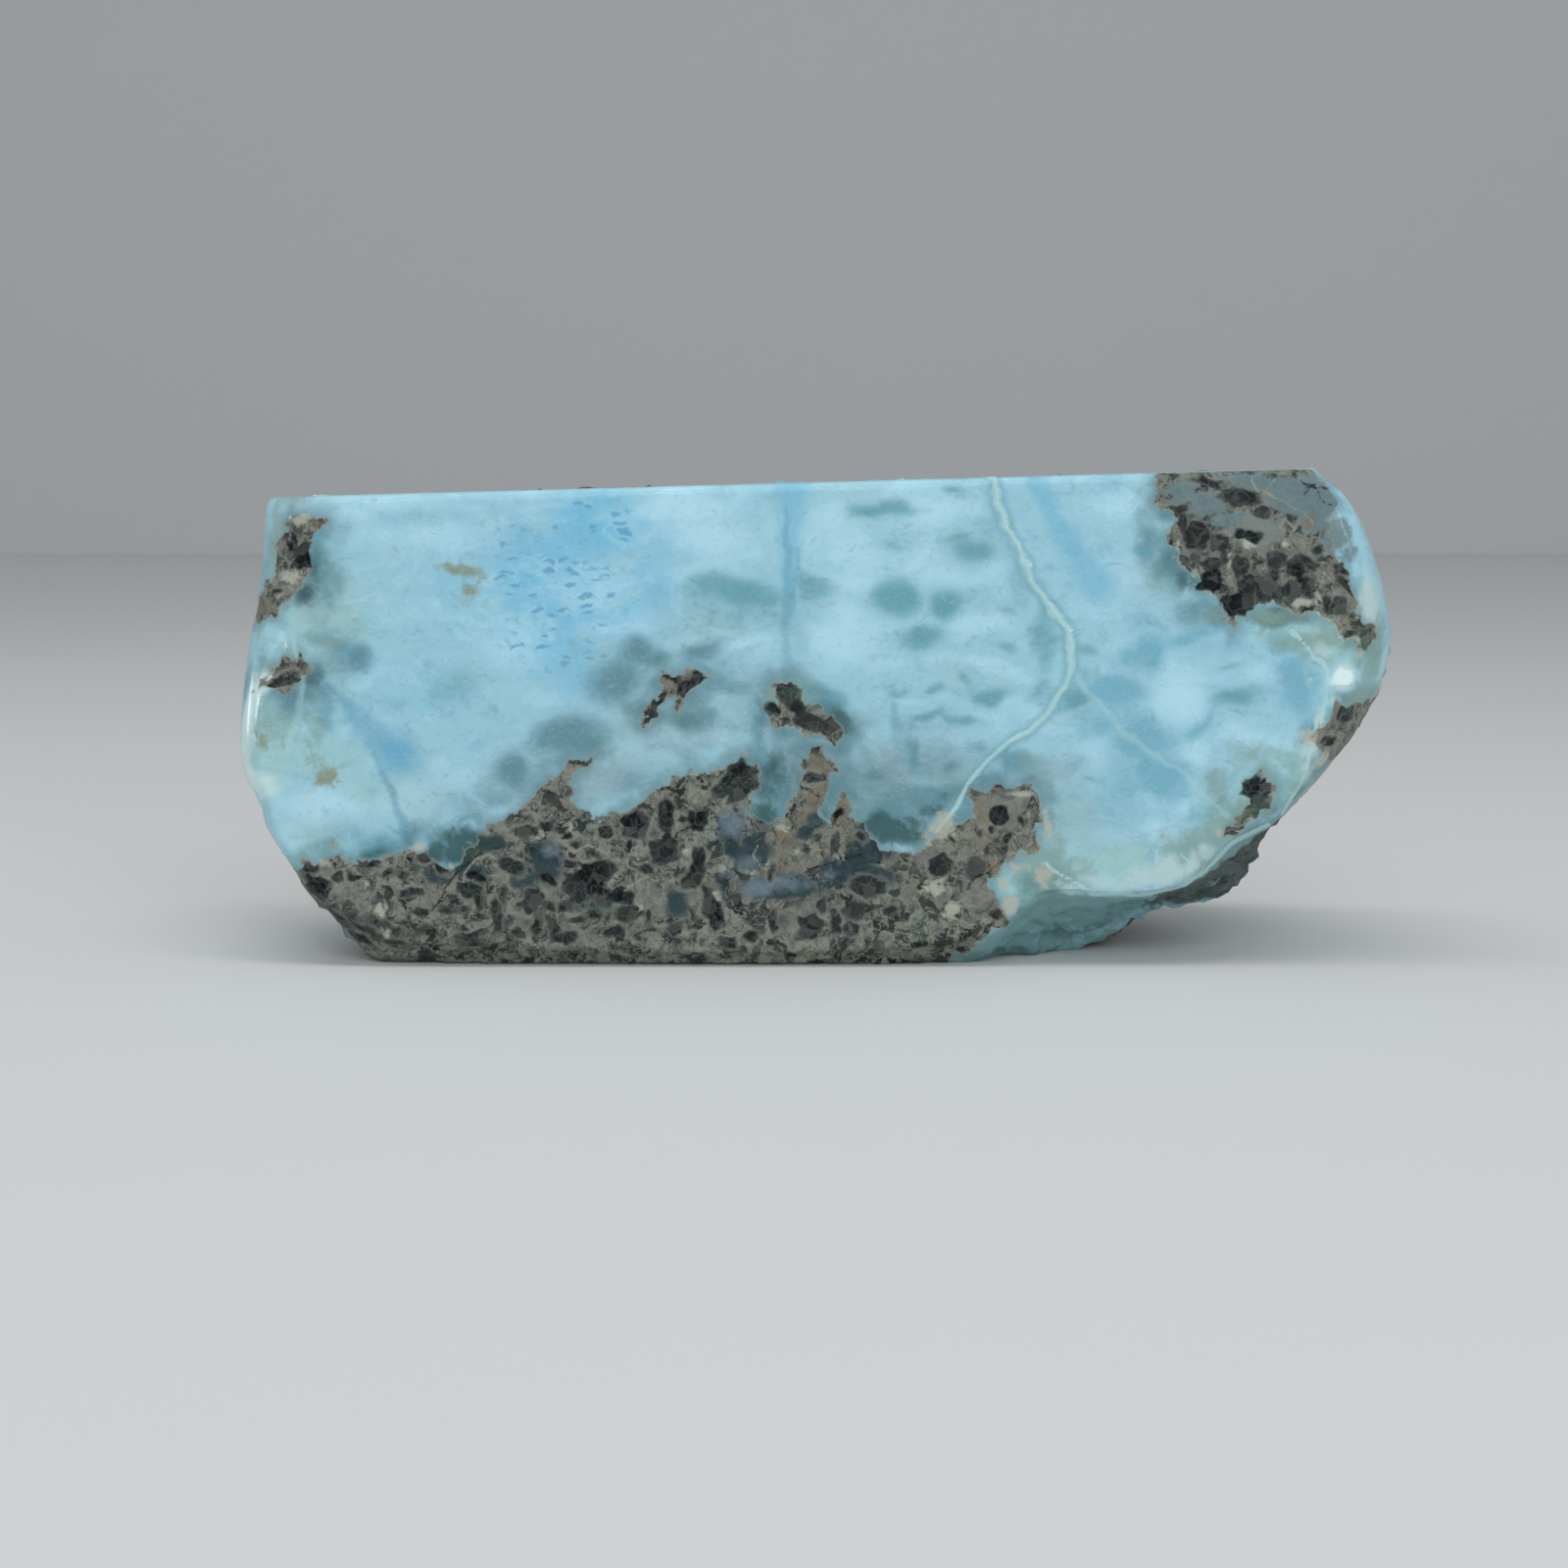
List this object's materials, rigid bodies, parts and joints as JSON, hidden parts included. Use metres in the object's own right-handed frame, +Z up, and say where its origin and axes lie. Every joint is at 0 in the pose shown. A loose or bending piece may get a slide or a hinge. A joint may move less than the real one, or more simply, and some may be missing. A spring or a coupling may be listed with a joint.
{
  "type": "rough larimar stone",
  "caption": "Slab of rough blue larimar, polished flat in front and sawn on top, with veins and dark basalt patches; the back, ends and underside are broken rock.",
  "frame": {"origin": "under the middle of the stone's box, on the plane of the sawn facet that it stands on", "axes": "+X along the stone's length, +Y from the polished front to the broken back, +Z up"},
  "size_m": [0.0576, 0.019, 0.0244],
  "materials": {
    "larimar": "polished"
  },
  "bodies": {
    "root": {"larimar_stone": "larimar"}
  },
  "joints": []
}
